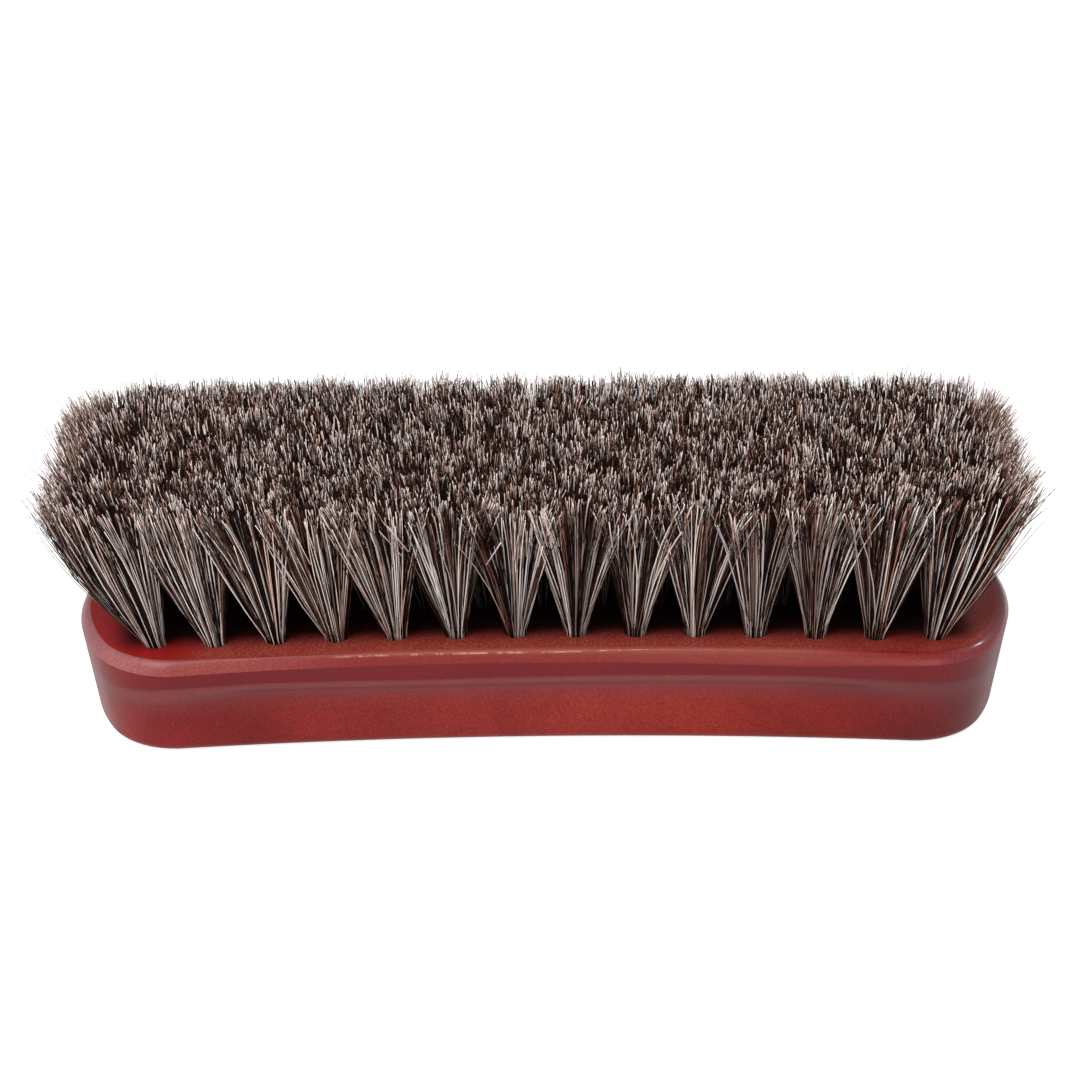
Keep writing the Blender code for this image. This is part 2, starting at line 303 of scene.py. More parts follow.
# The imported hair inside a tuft. Its wall's rings lie at shares of the height, and its dome's rings
# at shares of CORE_TOP, with widths beside the wall's
CORE_INSIDE = 0.0020
CORE_TOP = 0.86
CORE_SIDES = 36
CORE_WALL = (-0.07, 0.0, 0.12, 0.28, 0.44, 0.60, 0.74)
CORE_DOME = (1.0, 1.02, 1.035, 1.045, 1.05)
CORE_DOME_WIDTHS = (0.97, 0.85, 0.60, 0.30, 0.001)
CORE_LEAST_REACH = 0.002
CORE_MOUTH = 0.9
FAN_GROWTH = 1.2
CORE_UNEVENNESS = 0.04
CORE_ROUGHNESS = 0.0005
CORE_TONE = np.array([1.0, 0.66, 0.58])
CORE_LIGHTNESS = (0.09, 0.04)
CORE_LIGHTNESS_LIMITS = (0.03, 0.25)
CORE_ROOT_SHADE = 0.4
CORE_FULL_LIGHT = 0.8

# Natural hair: share of the strands, display tone, and thickness beside the mean
TONES = (
    (0.54, (0.100, 0.038, 0.028), 0.95),
    (0.22, (0.325, 0.182, 0.138), 0.90),
    (0.09, (0.650, 0.515, 0.455), 1.10),
    (0.15, (0.980, 0.905, 0.872), 1.80),
)
FADED_SHARE = 0.24
LIGHTNESS_SPREAD = 0.22
WARMTH_SPREAD = 0.02
WARMTH = np.array([1.0, -0.2, -1.0])
TONE_LIMITS = (0.02, 0.98)
THICKNESS_SPREAD = 0.15
THICKNESS_LIMITS = (0.5, 1.8)

# Painted shade: strands are darkened towards their roots, unless these are out in the open, in the
# outermost holes
DEEP_ROOT_LIGHT = 0.08
FULL_LIGHT_SHARE = 0.85
FULL_LIGHT_SOONER = 0.30
OPEN_ROW_WIDTH = 0.0016
OPEN_END = 0.068
OPEN_END_WIDTH = 0.004
OPENNESS = (0.4, 1.0)
OPEN_RADIUS = 0.6

# The light, the sheet under the brush, and what reflections see of it
WORLD_LEVEL = 0.3
SHEET_TONE = 0.80
SHEET_HALF_SIZE = 4.0
SHEET_HEIGHT = -0.0002
SHEET_LIFT = 0.7
SHEET_LIFT_IN_GLOSS = 0.3
LAMP_AIM = Vector((0.0, 0.0, 0.03))

block_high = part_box("block")[1]
FACE = block_high.z
HALF_LENGTH = block_high.x
HALF_WIDTH = block_high.y


def add_node(tree, kind, inputs=None, **settings):
    """A shader node. inputs maps a socket to a value, or to the output that feeds it."""
    made = tree.nodes.new(kind)
    for name, value in settings.items():
        setattr(made, name, value)
    for socket, value in (inputs or {}).items():
        if isinstance(value, bpy.types.NodeSocket):
            tree.links.new(value, made.inputs[socket])
        else:
            made.inputs[socket].default_value = value
    return made


def mix_colours(tree, share, first, second, blend="MIX"):
    """The colour between first and second, by share."""
    mixer = add_node(tree, "ShaderNodeMix", data_type="RGBA", blend_type=blend)
    for index, value in ((0, share), (6, first), (7, second)):
        if isinstance(value, bpy.types.NodeSocket):
            tree.links.new(value, mixer.inputs[index])
        elif index:
            mixer.inputs[index].default_value = (*value, 1.0)
        else:
            mixer.inputs[index].default_value = value
    return mixer.outputs[2]


def remap(tree, value, low, high, to_low=0.0, to_high=1.0):
    """value carried smoothly from low..high to to_low..to_high."""
    inputs = {"Value": value, "From Min": low, "From Max": high, "To Min": to_low, "To Max": to_high}
    return add_node(tree, "ShaderNodeMapRange", inputs, interpolation_type="SMOOTHSTEP").outputs[0]


def remap_straight(tree, value, low, high):
    """value carried in proportion from low..high to 0..1."""
    inputs = {"Value": value, "From Min": low, "From Max": high}
    return add_node(tree, "ShaderNodeMapRange", inputs).outputs[0]


def calculate(tree, operation, *values):
    """The result of a Math node on the values."""
    return add_node(tree, "ShaderNodeMath", dict(enumerate(values)), operation=operation).outputs[0]


def multiply(tree, first, second):
    """first times second."""
    return calculate(tree, "MULTIPLY", first, second)


def band_mask(tree, value, rise, fall):
    """1 where value lies between the ranges rise and fall, 0 outside, and smooth across them."""
    return multiply(tree, remap(tree, value, *rise), remap(tree, value, *fall, 1.0, 0.0))


def noise(tree, place, scale, detail, roughness=0.55):
    """Soft random values from 0 to 1 over the place."""
    inputs = {"Vector": place, "Scale": scale, "Detail": detail, "Roughness": roughness}
    return add_node(tree, "ShaderNodeTexNoise", inputs).outputs["Fac"]


def new_material(name):
    """(material, its node tree, its Principled shader)."""
    material = bpy.data.materials.new(name)
    material.use_nodes = True
    tree = material.node_tree
    return material, tree, tree.nodes["Principled BSDF"]


def mesh_of_triangles(name, points, triangles):
    """A smooth mesh from an array of points and an array of triangles."""
    mesh = bpy.data.meshes.new(name)
    mesh.vertices.add(len(points))
    mesh.vertices.foreach_set("co", points.astype(np.float32).ravel())
    mesh.loops.add(triangles.size)
    mesh.loops.foreach_set("vertex_index", triangles.astype(np.int32).ravel())
    mesh.polygons.add(len(triangles))
    mesh.polygons.foreach_set("loop_start", np.arange(0, triangles.size, 3, dtype=np.int32))
    mesh.update(calc_edges=True)
    mesh.shade_smooth()
    return mesh


def add_values(mesh, name, kind, values):
    """A named value or colour for each point of the mesh."""
    attribute = mesh.attributes.new(name, kind, "POINT")
    field = "color" if kind == "FLOAT_COLOR" else "value"
    attribute.data.foreach_set(field, values.astype(np.float32).ravel())


def add_piece(name, mesh, material, node):
    """A finished piece of the brush, in place of the CAD part's node."""
    piece = bpy.data.objects.new(name, mesh)
    bpy.context.scene.collection.objects.link(piece)
    mesh.materials.clear()
    mesh.materials.append(material)
    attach(piece, "root")
    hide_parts(node)


def ring_strip(rings, around):
    """Triangles between neighbouring rings of a loft, each with around points, wound outwards."""
    ring, side = np.meshgrid(np.arange(rings - 1), np.arange(around), indexing="ij")
    after = (side + 1) % around
    a = ring * around + side
    b = ring * around + after
    c = (ring + 1) * around + after
    d = (ring + 1) * around + side
    return np.stack([a, b, c, a, c, d], axis=-1).reshape(-1, 3)


def smooth_step(value):
    """0 below 0, 1 above 1, and 3 v^2 - 2 v^3 between them."""
    value = np.clip(value, 0.0, 1.0)
    return value**2 * (3 - 2 * value)


def round_directions(angles):
    """A unit vector in the plane for each angle: its cosine and its sine."""
    return np.stack([np.cos(angles), np.sin(angles)], axis=1)


def outline_arcs():
    """(centre, radius, first angle, last angle, steps) of the arcs in the quarter at +X, +Y.

    The end arc is centred on the X axis, the corner arc lies inside it and touches it, and the
    hollow arc of the waist is centred outside the block and touches the corner arc.
    """
    corner_x = HALF_LENGTH - END_BULGE - CORNER_RADIUS
    corner_y = HALF_WIDTH - CORNER_RADIUS
    end_radius = (END_BULGE**2 + 2 * END_BULGE * CORNER_RADIUS + corner_y**2) / (2 * END_BULGE)
    end_x = HALF_LENGTH - end_radius
    meet_end = math.atan2(corner_y, corner_x - end_x)
    inner = CORNER_RADIUS - WAIST_DEPTH
    waist_radius = (corner_x**2 + inner**2 - CORNER_RADIUS**2) / (2 * WAIST_DEPTH)
    waist_y = HALF_WIDTH - WAIST_DEPTH + waist_radius
    meet_waist = math.atan2(waist_y - corner_y, -corner_x)
    return (
        ((end_x, 0.0), end_radius, 0.0, meet_end, END_STEPS),
        ((corner_x, corner_y), CORNER_RADIUS, meet_end, meet_waist, CORNER_STEPS),
        ((0.0, waist_y), -waist_radius, meet_waist, math.pi / 2, WAIST_STEPS),
    )


def block_outline():
    """Points round the block and the outward direction at each: centre + radius * direction.

    The quarter's arcs are mirrored in Y and then in X, anticlockwise.
    """
    points = []
    directions = []
    for centre, radius, first, last, steps in outline_arcs():
        outward = round_directions(np.linspace(first, last, steps + 1)[:-1])
        points.append(np.array(centre) + radius * outward)
        directions.append(outward)
    points = np.vstack([*points, [[0.0, HALF_WIDTH - WAIST_DEPTH]]])
    directions = np.vstack([*directions, [[0.0, 1.0]]])
    for mirror, last in ((np.array([-1.0, 1.0]), None), (np.array([1.0, -1.0]), 0)):
        points = np.vstack([points, points[-2:last:-1] * mirror])
        directions = np.vstack([directions, directions[-2:last:-1] * mirror])
    return points, directions


def along_x(x, values):
    """The values given at the places ALONG_X, carried in straight lines to x."""
    return np.interp(x, ALONG_X, values)


def block_rings(x):
    """Heights and insets of the block's rings, one row a ring and one column a point at x, and marks.

    From the back up: the rounded back edge, a quarter circle; the wall, drawn in towards the back
    and hollowed by the finger groove, a sine of a power of the height that starts gently under its
    upper edge; the land above the groove; the rim, where height and inset follow powers of the
    sine and cosine of one angle; and a strip of the face. The marks run from 0 at the back through
    GROOVE_EDGE, RIM_FOOT and RIM_TOP to ON_FACE.
    """
    depth = along_x(x, RIM_DEPTHS)
    width = along_x(x, RIM_WIDTHS)
    rim_foot = FACE - depth
    groove_top = FACE - along_x(x, GROOVE_TOPS)
    groove = GROOVE_DEPTH * smooth_step((HALF_LENGTH - GROOVE_END_MARGIN - np.abs(x)) / GROOVE_RUNOUT)

    turn = np.linspace(0.0, math.pi / 2, BACK_EDGE_RINGS)[:, None]
    back_height = BACK_EDGE_RADIUS * (1 - np.cos(turn)) + 0 * x
    back_inset = SIDE_TAPER + BACK_EDGE_RADIUS * (1 - np.sin(turn)) + 0 * x

    foot_of_wall = BACK_EDGE_RADIUS + LOWER_LAND
    share = np.append(np.linspace(1.0, LOWEST_WALL_SHARE, WALL_RINGS), 0.0)[:, None]
    wall_height = groove_top - (groove_top - foot_of_wall) * share
    land_height = groove_top + (rim_foot - groove_top) * LAND_SHARES[:, None]
    turn = np.linspace(0.0, math.pi / 2, RIM_RINGS)[:, None]
    rim_height = rim_foot + depth * np.sin(turn) ** along_x(x, FOOT_CRISPNESS)
    rim_inset = width * (1 - np.cos(turn) ** along_x(x, TOP_CRISPNESS))

    upright = np.vstack([wall_height, land_height])
    upright_inset = SIDE_TAPER * (rim_foot - upright) / (rim_foot - BACK_EDGE_RADIUS)
    bow = np.maximum(np.sin(math.pi * share**GROOVE_SKEW), 0.0) * smooth_step(share / GROOVE_EASING)
    upright_inset[: len(share)] += groove * bow

    face_inset = width + FACE_STRIP[:, None]
    heights = np.vstack([back_height, upright, rim_height, FACE + 0 * face_inset])
    insets = np.vstack([back_inset, upright_inset, rim_inset, face_inset])
    marks = np.concatenate(
        [
            np.zeros(BACK_EDGE_RINGS),
            GROOVE_EDGE - share[:, 0] ** 0.5,
            GROOVE_EDGE + LAND_SHARES,
            RIM_FOOT + np.linspace(0, 1, RIM_RINGS),
            RIM_TOP + FACE_STRIP / FACE_STRIP[-1] * (ON_FACE - RIM_TOP),
        ]
    )
    return heights, insets, np.repeat(marks, len(x))


def block_mesh():
    """A loft of the outline through the rings, closed by one flat face above and one below."""
    points, directions = block_outline()
    heights, insets, marks = block_rings(points[:, 0])
    plan = points[None] - directions[None] * insets[..., None]
    surface = np.concatenate([plan, heights[..., None]], axis=-1)
    rings, around = heights.shape
    faces = ring_strip(rings, around).tolist()
    faces.append(list(range(around))[::-1])
    faces.append([(rings - 1) * around + i for i in range(around)])
    mesh = bpy.data.meshes.new("block_body")
    mesh.from_pydata(surface.reshape(-1, 3), [], faces)
    add_values(mesh, "level", "FLOAT", marks)
    return mesh


class Tuft:
    """What the CAD tuft says: the middle of its hole's mouth, its axis and the middle of its tips."""

    def __init__(self, node):
        places = np.empty(len(node.data.vertices) * 3, np.float32)
        node.data.vertices.foreach_get("co", places)
        places = np.unique(places.reshape(-1, 3).astype(float).round(6), axis=0)
        height = places[:, 2]
        self.name = node.name
        self.mouth = places[np.abs(height - FACE) < NEAR_FACE].mean(axis=0)
        self.mouth[2] = FACE
        crown = places[height.argmax()]
        self.axis = (crown - self.mouth) / np.linalg.norm(crown - self.mouth)
        self.tips = crown * np.array([TIPS_DRAWN_IN, 1.0, 1.0])
        wave = math.sin(2 * math.pi * (crown[0] - COMB_START) / COMB_LENGTH)
        self.tips += np.array([TIPS_SWEPT + COMB_WAVE * wave, 0.0, LONGEST_ENDS])


def across_and_along(axis):
    """Two unit vectors square to the axis and to each other."""
    side = np.cross([0.0, 1.0, 0.0], axis)
    side /= np.linalg.norm(side)
    return side, np.cross(axis, side)


def holes_mesh(tufts):
    """Each hole is a profile turned about its tuft's axis: drill point, shank and flared mouth."""
    mouth = HOLE_RADIUS + MOUTH_FLARE
    profile = np.array(
        [
            (ON_AXIS, -HOLE_DEPTH - DRILL_POINT),
            (HOLE_RADIUS, -HOLE_DEPTH),
            (HOLE_RADIUS, -MOUTH_DEPTH),
            (mouth, 0.0),
            (mouth, OVERCUT),
            (ON_AXIS, OVERCUT),
        ]
    )
    angles = np.arange(HOLE_SIDES) * 2 * math.pi / HOLE_SIDES
    points = []
    triangles = []
    for tuft in tufts:
        side, up = across_and_along(tuft.axis)
        spokes = np.cos(angles)[:, None] * side + np.sin(angles)[:, None] * up
        rings = tuft.mouth + profile[:, 1, None, None] * tuft.axis + profile[:, 0, None, None] * spokes
        start = len(points) * len(profile) * HOLE_SIDES
        triangles.append(ring_strip(len(profile), HOLE_SIDES) + start)
        points.append(rings.reshape(-1, 3))
    mesh = mesh_of_triangles("holes", np.concatenate(points), np.concatenate(triangles))
    add_values(mesh, "level", "FLOAT", np.full(len(mesh.vertices), ON_FACE))
    return mesh


def add_block(tufts):
    """The block with its holes cut. New points on the flat of the face are marked as lying on it."""
    body = bpy.data.objects.new("block_body", block_mesh())
    holes = bpy.data.objects.new("holes", holes_mesh(tufts))
    for item in (body, holes):
        bpy.context.scene.collection.objects.link(item)
    drill = body.modifiers.new("drill", "BOOLEAN")
    drill.object = holes
    graph = bpy.context.evaluated_depsgraph_get()
    mesh = bpy.data.meshes.new_from_object(body.evaluated_get(graph))
    mesh.name = "lacquered_block"
    level = mesh.attributes["level"]
    values = np.empty(len(mesh.vertices), np.float32)
    places = np.empty(len(mesh.vertices) * 3, np.float32)
    level.data.foreach_get("value", values)
    mesh.vertices.foreach_get("co", places)
    at_face = places[2::3] > FACE - FACE_TOLERANCE
    values[at_face & (values < RIM_TOP)] = ON_FACE
    level.data.foreach_set("value", values)
    mesh.shade_smooth()
    mesh.set_sharp_from_angle(angle=SHARP_ANGLE)
    bpy.data.objects.remove(body)
    bpy.data.objects.remove(holes)
    add_piece("lacquered_block", mesh, lacquered_wood(), "block")


def stain_along(tree, x):
    """The stain's tone by its place along the block, eased between the places in STAINS."""
    share = remap_straight(tree, x, -HALF_LENGTH, HALF_LENGTH)
    ramp = add_node(tree, "ShaderNodeValToRGB", {"Fac": share})
    ramp.color_ramp.interpolation = "B_SPLINE"
    stops = ramp.color_ramp.elements
    while len(stops) < len(STAINS):
        stops.new(0.5)
    for stop, (place, tone) in zip(stops, STAINS):
        stop.position = (place + HALF_LENGTH) / (2 * HALF_LENGTH)
        stop.color = (*tone, 1.0)
    return ramp.outputs["Color"]


def sides_tone(tree, place, x, level, mottle):
    """The sides: the stain, with painted reflections in the groove, a grey sheen and a paler one, and
    painted shade, maroon, on the land above it.
    """
    patches = remap(tree, noise(tree, place, *CLOUD_NOISE), *CLOUD_CONTRAST)
    stain = mix_colours(tree, 1.0, stain_along(tree, x), mix_colours(tree, patches, *CLOUDS), "MULTIPLY")
    stain = mix_colours(tree, 1.0, stain, mottle, "MULTIPLY")

    to_right = remap(tree, x, *TO_RIGHT)
    # Painted reflection: a grey sheen over the groove
    groove = multiply(tree, band_mask(tree, level, *GROOVE_BAND), GREY_SHEEN_COVER)
    stain = mix_colours(tree, groove, stain, mix_colours(tree, to_right, *GREY_SHEEN_IN_GROOVE))
    # Painted shade: the land above the groove darkened to maroon, less towards the ends
    land_cover = remap(tree, calculate(tree, "ABSOLUTE", x), *LAND_ENDS)
    land = multiply(tree, band_mask(tree, level, *LAND_BAND), land_cover)
    stain = mix_colours(tree, land, stain, SHADED_MAROON_LAND)
    # Painted reflection: a paler sheen in the groove's upper part
    pale_sheen = multiply(tree, band_mask(tree, level, *PALE_SHEEN_BAND), PALE_SHEEN_COVER)
    stain = mix_colours(tree, pale_sheen, stain, mix_colours(tree, to_right, *PALE_SHEEN_IN_GROOVE))
    return mix_colours(tree, PORES_OVER_TONES, stain, mottle, "MULTIPLY")


def bevel_tone(tree, x, mottle):
    """The bevel: brown, with a painted lilac sheen at the left end, a painted rose sheen beside it and a
    painted mauve sheen at the right.
    """
    bevel = mix_colours(tree, remap(tree, x, *BEVEL_LEFT_END), BEVEL_BROWN, LILAC_SHEEN_ON_BEVEL)
    bevel = mix_colours(tree, remap(tree, x, *BEVEL_BESIDE_LEFT), bevel, ROSE_SHEEN_ON_BEVEL)
    bevel = mix_colours(tree, remap(tree, x, *BEVEL_RIGHT_END), bevel, MAUVE_SHEEN_ON_BEVEL)
    return mix_colours(tree, 1.0, bevel, mottle, "MULTIPLY")


def face_tone(tree, place, x):
    """The face: red with pale flecks, purer at the left end and deeper at the right."""
    flecks = remap(tree, noise(tree, place, *FLECK_NOISE), *FLECK_CONTRAST)
    face = mix_colours(tree, flecks, FACE_RED, FACE_FLECK)
    face = mix_colours(tree, remap(tree, x, *FACE_RIGHT_PART), face, FACE_RIGHT)
    return mix_colours(tree, remap(tree, x, *FACE_LEFT_END), face, FACE_LEFT)


def painted_shade_between_tufts(tree, x, y, level):
    """1 on the face inside the outermost tufts, where painted shade darkens it."""
    bow = multiply(tree, multiply(tree, x, x), ROW_BOW)
    from_middle = calculate(tree, "SUBTRACT", calculate(tree, "ABSOLUTE", y), bow)
    inside_rows = remap(tree, from_middle, *DARK_ROWS, 1.0, 0.0)
    inside_ends = remap(tree, calculate(tree, "ABSOLUTE", x), *DARK_ENDS, 1.0, 0.0)
    return multiply(tree, multiply(tree, inside_rows, inside_ends), remap(tree, level, *DARK_STARTS))


def with_worn_edge(tree, grain, x, level, stain):
    """The stain, thinned by sanding near the top of the rim, with a broken line rubbed bare on it.

    Left of the block's middle the line lies a little lower on the rim.
    """
    sanded = multiply(tree, band_mask(tree, x, *SANDED_PART), band_mask(tree, level, *SANDED_BAND))
    stain = mix_colours(tree, multiply(tree, sanded, SANDED_COVER), stain, SANDED)

    broken = remap(tree, noise(tree, grain, *BREAK_NOISE), *BREAK_CONTRAST)
    crest = calculate(tree, "ADD", level, remap(tree, x, *RUBBED_LOWER))
    line = multiply(tree, band_mask(tree, crest, *CREST_BAND), broken)
    worn = multiply(tree, band_mask(tree, x, *RUBBED_PART), RUBBED_COVER)
    return mix_colours(tree, multiply(tree, line, worn), stain, RUBBED_BARE)


def lacquered_wood():
    """Red-brown stain under satin lacquer, brighter on the face and rubbed pale along the rim. Painted
    shade darkens the land above the finger groove to maroon and the face between the tufts; painted
    sheen greys the groove and tints the bevel. The bevel shines at the right end.
    """
    material, tree, shader = new_material("lacquered_wood")
    place = add_node(tree, "ShaderNodeTexCoord").outputs["Object"]
    level = add_node(tree, "ShaderNodeAttribute", attribute_name="level").outputs["Fac"]
    x, y = add_node(tree, "ShaderNodeSeparateXYZ", {0: place}).outputs[:2]
    grain = add_node(tree, "ShaderNodeMapping", {"Vector": place, "Scale": GRAIN_STRETCH}).outputs[0]
    pores = noise(tree, grain, *PORE_NOISE)
    mottle = mix_colours(tree, remap(tree, pores, *PORE_CONTRAST), *PORES)

    stain = sides_tone(tree, place, x, level, mottle)
    bevel = bevel_tone(tree, x, mottle)
    stain = mix_colours(tree, band_mask(tree, level, *BEVEL_BAND), stain, bevel)
    stain = mix_colours(tree, remap(tree, level, *FACE_STARTS), stain, face_tone(tree, place, x))
    # Painted shade on the face between the tufts
    stain = mix_colours(tree, painted_shade_between_tufts(tree, x, y, level), stain, PAINTED_SHADE_BETWEEN_TUFTS)
    stain = with_worn_edge(tree, grain, x, level, stain)
    tree.links.new(stain, shader.inputs["Base Color"])

    tree.links.new(remap(tree, pores, *LACQUER_ROUGHNESS), shader.inputs["Roughness"])
    shader.inputs["Specular IOR Level"].default_value = 0.18
    right_end = remap(tree, x, *GLOSSY_RIGHT_END)
    gloss = multiply(tree, right_end, band_mask(tree, level, *GLOSSY_BAND))
    coat = calculate(tree, "MULTIPLY_ADD", gloss, COAT_ADDED_AT_END, COAT)
    tree.links.new(coat, shader.inputs["Coat Weight"])
    shader.inputs["Coat Roughness"].default_value = COAT_ROUGHNESS
    bump = add_node(tree, "ShaderNodeBump", {"Strength": 0.35, "Distance": PORE_DEPTH, "Height": pores})
    tree.links.new(bump.outputs["Normal"], shader.inputs["Normal"])
    return material


def horse_hair():
    """Each strand has its own tone, and its tone and lustre vary a little along it."""
    material, tree, shader = new_material("horse_hair")
    tone = add_node(tree, "ShaderNodeAttribute", attribute_name="strand_colour").outputs["Color"]
    place = add_node(tree, "ShaderNodeTexCoord").outputs["Object"]
    lustre = noise(tree, place, *LUSTRE_NOISE)
    colour = mix_colours(tree, remap(tree, lustre, *HAIR_DARKENING), tone, DARK_HAIR)
    tree.links.new(colour, shader.inputs["Base Color"])
    tree.links.new(remap(tree, lustre, *HAIR_ROUGHNESS), shader.inputs["Roughness"])
    shader.inputs["Specular IOR Level"].default_value = 0.1
    return material


def cell_outline(tuft, all_tips):
    """(angles, reaches): how far the tuft's tips spread before they meet the next tuft's.

    A tuft's cell holds what is nearer to its own middle than to any other's, and a little more, as
    neighbours mingle, inside the oblong that all the tips fill.
    """
    angles = np.linspace(-math.pi, math.pi, CELL_DIRECTIONS + 1)[:-1]
    steps = np.arange(0.0, CELL_LIMIT, CELL_STEP)
    places = tuft.tips[:2] + round_directions(angles)[:, None] * steps[:, None]
    others = np.linalg.norm(places[:, :, None] - all_tips[:, :2], axis=3)
    own = others.min(axis=2) > steps - TUFT_OVERLAP
    field = np.abs((places - FIELD_MIDDLE) / FIELD_HALF_SIZE)
    inside = (field**FIELD_SQUARENESS).sum(axis=2) < 1
    return angles, (own & inside).sum(axis=1) * CELL_STEP


def sunflower(rng, angles, reaches, count):
    """(angles, shares of the reach) of points that fill an outline as seeds fill a sunflower.

    Each seed turns on by the golden share of the area swept, and its share of the reach is the
    root of its number's share of the count.
    """
    swept = np.concatenate([[0.0], np.cumsum(reaches**2)])
    seeds = np.arange(count)
    turn = (seeds * (math.sqrt(5) - 1) / 2 + rng.random()) % 1.0
    angle = np.interp(turn, swept / swept[-1], np.append(angles, math.pi))
    return angle + rng.normal(0, SEED_SPREAD, count), np.sqrt((seeds + 0.5) / count)


def outsideness(places):
    """0 well inside the field of tips and 1 at its left, right and back edges.

    The front edge doesn't count: there the sides of the tufts are seen, and not their ends.
    """
    places = places - FIELD_MIDDLE
    places = np.abs(np.column_stack([places[:, 0], np.maximum(places[:, 1], 0)]))
    field = ((places / FIELD_HALF_SIZE) ** FIELD_SQUARENESS).sum(axis=1)
    return smooth_step((field - OUTSIDE_START) / OUTSIDE_WIDTH)


def openness(roots):
    """0 for a root among other tufts and 1 in the outermost rows and at the ends of the brush."""
    roots = np.abs(roots)
    beside_row = roots[:, 1] - ROW_BOW * roots[:, 0] ** 2
    in_outer_row = smooth_step((beside_row - OUTER_ROW) / OPEN_ROW_WIDTH)
    at_end = smooth_step((roots[:, 0] - OPEN_END) / OPEN_END_WIDTH)
    return np.maximum(in_outer_row, at_end)


def tuft_strands(rng, tuft, all_tips):
    """(path function, each strand's place from the tuft's middle to its outside, its lock, how
    exposed its root is, and how near its tip is to the outside of the brush).

    The strands fill the hole, and keep their order as they fan out over the tuft's cell. At the
    share s of its height a strand has made s + b s (1 - s) of its way sideways, where b is its
    bow: a little under 0 inside a tuft, and up to 1 on the outside of the brush, where the hair
    leaves its hole low and curves up. The last stretch flicks aside by s^4. Strands gather in
    locks, which have their own flick and length.
    """
    angles, reaches = cell_outline(tuft, all_tips)
    angle, radius = sunflower(rng, angles, reaches, STRANDS)
    unit = round_directions(angle)
    is_wisp = rng.random(STRANDS) < WISP_SHARE
    wisp = np.where(is_wisp, np.abs(rng.normal(0, WISP_REACH, STRANDS)), 0.0)
    reach = np.interp(angle, angles, reaches, period=2 * math.pi)
    reach = radius * (1 + wisp * (radius > WISP_RADIUS)) * reach
    fan = unit * (reach * rng.normal(1.0, FAN_SPREAD, STRANDS))[:, None]

    heads = fan[rng.choice(STRANDS, LOCKS, replace=False)]
    lock = np.linalg.norm(fan[:, None] - heads[None], axis=2).argmin(axis=1)
    pull = rng.uniform(0.0, LOCK_PULL, STRANDS)[:, None]
    fan = fan * (1 - pull) + heads[lock] * pull + rng.normal(0, LOCK_SPREAD, (STRANDS, 2))
    astray = rng.random((STRANDS, 1)) < STRAY_SHARE
    fan += astray * rng.uniform(-STRAY_REACH, STRAY_REACH, (STRANDS, 2))

    spread = radius[:, None] * unit + rng.normal(0, MOUTH_SPREAD, (STRANDS, 2))
    spread /= np.maximum(np.linalg.norm(spread, axis=1, keepdims=True), 1.0)
    spread *= MOUTH_RADIUS

    height = tuft.tips[2] - FACE - np.abs(rng.normal(0, LOCK_TRIM, LOCKS))[lock]
    height -= TRIM_JITTER * rng.random(STRANDS) ** TRIM_POWER + TUFT_CROWN * radius**4
    is_short = rng.random(STRANDS) < SHORT_SHARE
    height -= np.where(is_short, rng.uniform(*SHORT_BY, STRANDS), 0.0)

    lean = (tuft.tips - tuft.mouth)[:2]
    outward = np.clip(unit[:, 0] * lean[0] / FULL_LEAN, 0.0, 1.0)
    outward = outward * np.minimum(radius / FULL_BOW_RADIUS, 1.0)
    outward *= np.interp(tuft.mouth[0], OUTER_BOW_PLACES, OUTER_BOWS)
    bend = (rng.normal(INNER_BOW, BOW_SPREAD, STRANDS) + outward)[:, None, None]
    outer = outsideness(tuft.tips[:2] + fan)
    flick = rng.normal(0, LOCK_FLICK, (LOCKS, 2))[lock]
    flick += rng.normal(0, TIP_FLICK, (STRANDS, 2)) * (1 + OUTER_FLICK * outer)[:, None]
    waver = rng.normal(0, WAVER, (STRANDS, 2))

    def paths(chosen, bends):
        """The points of the chosen strands at their bends."""
        share = np.array(bends)[None, :, None]
        above = np.maximum(share, 0.0)
        risen = share + bend[chosen] * above * (1 - above)
        flat = tuft.mouth[:2] + spread[chosen, None] + lean * risen
        flat = flat + (fan - spread)[chosen, None] * np.maximum(risen, 0.0)
        flat += flick[chosen, None] * above**4 + waver[chosen, None] * np.sin(math.pi * above)
        up = FACE + height[chosen, None, None] * share
        return np.concatenate([flat, up], axis=2)

    exposed = openness(tuft.mouth[:2] + spread) * rng.uniform(*OPENNESS, STRANDS)
    return paths, radius, lock, exposed, outer


def strand_tones(rng, lock, outside):
    """(colours, thicknesses): natural hair, black to near white, paler in some locks.

    A strand's draw is part its own and part its lock's, and its rank among all draws picks its
    tone. On the outside of the brush, where sun and wear have faded the hair, more of it is pale.
    """
    count = len(outside)
    shares, tones, widths = (np.array(column) for column in zip(*TONES))
    darkest, palest = TONE_LIMITS
    draw = rng.random(count) + LOCK_LIKENESS * rng.random(LOCKS)[lock]
    rank = (draw.argsort().argsort() + 0.5) / count
    kind = np.searchsorted(np.cumsum(shares)[:-1], rank)
    faded = rng.random(count) < FADED_SHARE * outside
    kind = np.where(faded, len(shares) - 1 - rng.integers(0, 2, count), kind)
    lightness = rng.normal(1.0, LIGHTNESS_SPREAD, count)
    lightness = np.minimum(lightness, palest / tones[kind].max(axis=1))
    display = tones[kind] * lightness[:, None]
    display *= 1 + rng.normal(0, WARMTH_SPREAD, count)[:, None] * WARMTH
    thickness = widths[kind] * rng.normal(1.0, THICKNESS_SPREAD, count)
    colours = np.clip(display, darkest, palest) ** DISPLAY_GAMMA
    return colours, np.clip(thickness, *THICKNESS_LIMITS)


